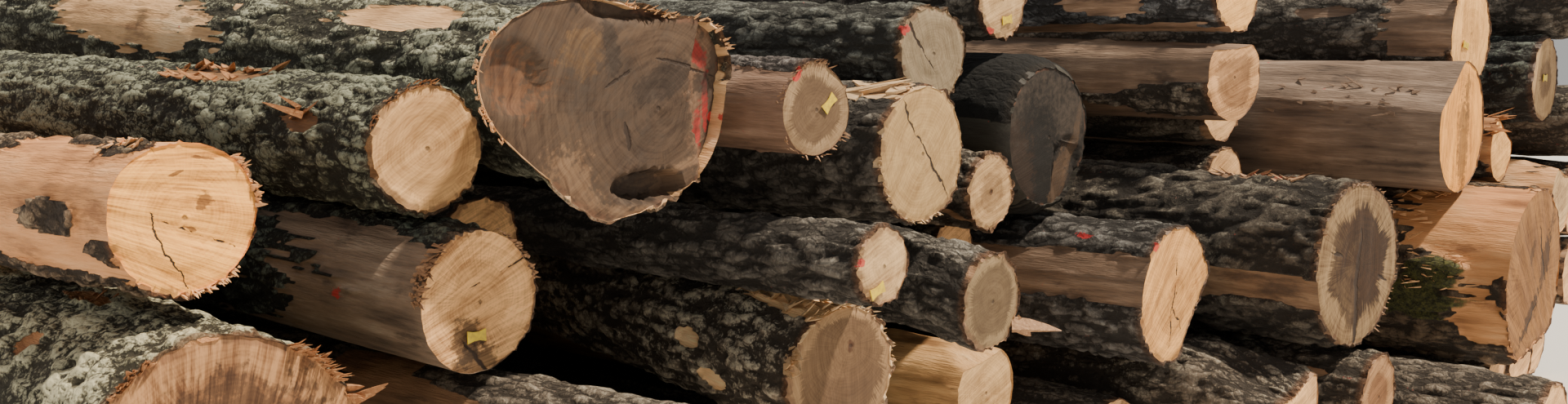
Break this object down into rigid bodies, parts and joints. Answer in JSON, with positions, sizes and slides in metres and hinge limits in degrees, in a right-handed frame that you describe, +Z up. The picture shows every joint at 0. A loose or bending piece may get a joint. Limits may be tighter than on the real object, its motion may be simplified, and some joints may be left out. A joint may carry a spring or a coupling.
{
  "type": "heap of logs",
  "caption": "Heap of felled round logs lying side by side with bark on, sawn ends level with each other at the front, some ends with small yellow plates.",
  "frame": {"origin": "middle of the heap's footprint, on the ground", "axes": "+Z up, logs run along Y with their seen sawn ends towards -Y, +X to the right when facing the ends"},
  "size_m": [4.9422, 5.503, 1.5624],
  "materials": {
    "log_wood": "rough bark and sawn ends",
    "lichen_bark_wood": "rough bark with grey-green lichen",
    "tag_yellow": "matt"
  },
  "bodies": {
    "root": {"base_log_1": "log_wood", "base_log_10": "log_wood", "base_log_11": "log_wood", "base_log_12": "log_wood", "base_log_2": "log_wood", "base_log_3": "log_wood", "base_log_4": "log_wood", "base_log_5": "log_wood", "base_log_6": "log_wood", "base_log_7": "log_wood", "base_log_8": "log_wood", "base_log_9": "log_wood", "inner_log_1": "log_wood", "inner_log_10": "log_wood", "inner_log_11": "log_wood", "inner_log_12": "log_wood", "inner_log_13": "log_wood", "inner_log_14": "log_wood", "inner_log_2": "log_wood", "inner_log_3": "log_wood", "inner_log_4": "log_wood", "inner_log_5": "log_wood", "inner_log_6": "log_wood", "inner_log_7": "log_wood", "inner_log_8": "log_wood", "inner_log_9": "log_wood", "log_bevelled_low": "log_wood", "log_bevelled_right": "log_wood", "log_brown_long": "log_wood", "log_brown_upper": "log_wood", "log_domed_dark": "log_wood", "log_facet_right": "log_wood", "log_flat_topped": "log_wood", "log_green_top_right": "log_wood", "log_half_shaded": "log_wood", "log_lichen_front_left": "lichen_bark_wood", "log_low_right": "log_wood", "log_mossy_left": "lichen_bark_wood", "log_mossy_right": "log_wood", "log_pale_oval": "log_wood", "log_peeled_left": "log_wood", "log_red_marked_top": "log_wood", "log_root_flare": "log_wood", "log_shaded_left": "log_wood", "log_skewed_centre": "log_wood", "log_small_centre": "log_wood", "log_small_low_right": "log_wood", "log_split_behind": "log_wood", "log_split_tall": "log_wood", "log_split_upper": "log_wood", "log_star_heart": "log_wood", "log_tagged_centre": "log_wood", "log_tagged_left": "log_wood", "log_tagged_top": "log_wood", "log_top_right": "log_wood", "log_under_tagged": "log_wood", "log_wedge_cut": "log_wood", "number_tags": "tag_yellow"}
  },
  "joints": []
}
